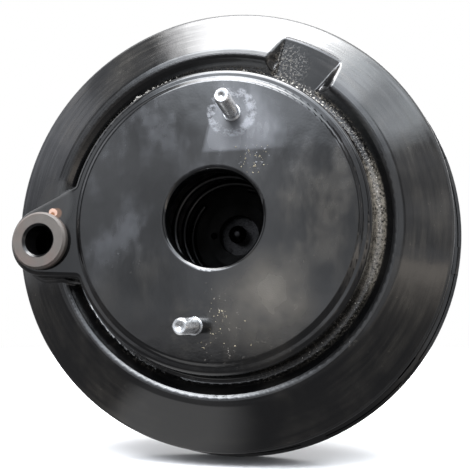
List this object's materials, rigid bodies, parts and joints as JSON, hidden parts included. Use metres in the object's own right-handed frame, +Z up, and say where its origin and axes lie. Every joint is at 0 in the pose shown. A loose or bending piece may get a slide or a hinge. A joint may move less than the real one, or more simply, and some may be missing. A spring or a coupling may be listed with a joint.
{
  "type": "vacuum brake booster",
  "caption": "Vacuum brake booster: a pressed steel housing with a diaphragm piston, return spring, air valve, output rod, studs, vacuum port, dust boot and clevis rod.",
  "frame": {"origin": "on the piston axis in the rear mounting face, at the centre of the rear studs", "axes": "+Y along the piston axis to the input rod, -Y to the master cylinder side, +Z up as in the picture, +X right seen from the front"},
  "size_m": [0.2576, 0.252, 0.2576],
  "materials": {
    "black_paint": "gloss",
    "black_paint_rear": "gloss",
    "plate_steel": "matte",
    "zinc_stud": "satin",
    "zinc_rod": "satin",
    "grommet_rubber": "matte",
    "piston_plastic": "matte",
    "key_steel": "satin",
    "disc_rubber": "matte",
    "rod_steel": "satin",
    "washer_steel": "satin",
    "spring_steel": "satin",
    "diaphragm_rubber": "matte",
    "bush_plastic": "matte",
    "filter_felt": "matte",
    "boot_rubber": "matte"
  },
  "bodies": {
    "housing": {"front_shell": "black_paint", "rear_shell": "black_paint_rear", "front_reinforcement": "plate_steel", "rear_reinforcement": "plate_steel", "front_studs": "zinc_stud", "rear_studs": "zinc_stud", "vacuum_grommet": "grommet_rubber", "guide_bush": "bush_plastic", "neck_seal": "disc_rubber", "diaphragm": "diaphragm_rubber", "return_spring": "spring_steel", "dust_boot": "boot_rubber"},
    "piston": {"power_piston": "piston_plastic", "diaphragm_plate": "plate_steel", "reaction_disc": "disc_rubber", "output_rod": "rod_steel", "rod_retainer": "washer_steel", "stop_key": "key_steel", "poppet_valve": "disc_rubber", "poppet_retainer": "washer_steel", "poppet_spring": "spring_steel", "input_spring": "spring_steel", "air_filter": "filter_felt"},
    "plunger": {"air_valve_plunger": "rod_steel"},
    "input_rod": {"input_rod": "zinc_rod", "lock_nut": "zinc_stud", "clevis": "zinc_rod"}
  },
  "joints": [
    {"name": "power_stroke", "type": "slide", "parent": "housing", "child": "piston", "axis": [0, -1, 0], "range_m": [0, 0.032], "stiffness_N_per_m": 3500, "springref_m": -0.04, "deforming": ["return_spring", "diaphragm", "dust_boot"]},
    {"name": "valve_stroke", "type": "slide", "parent": "piston", "child": "plunger", "axis": [0, -1, 0], "range_m": [0, 0.0024], "stiffness_N_per_m": 4000, "springref_m": -0.01, "deforming": ["input_spring"]},
    {"name": "rod_swivel", "type": "hinge", "parent": "plunger", "child": "input_rod", "pos_m": [0, 0.021, 0], "axis": [1, 0, 0], "range_deg": [-3, 3], "stiffness_Nm_per_rad": 12, "deforming": ["air_filter"]}
  ]
}
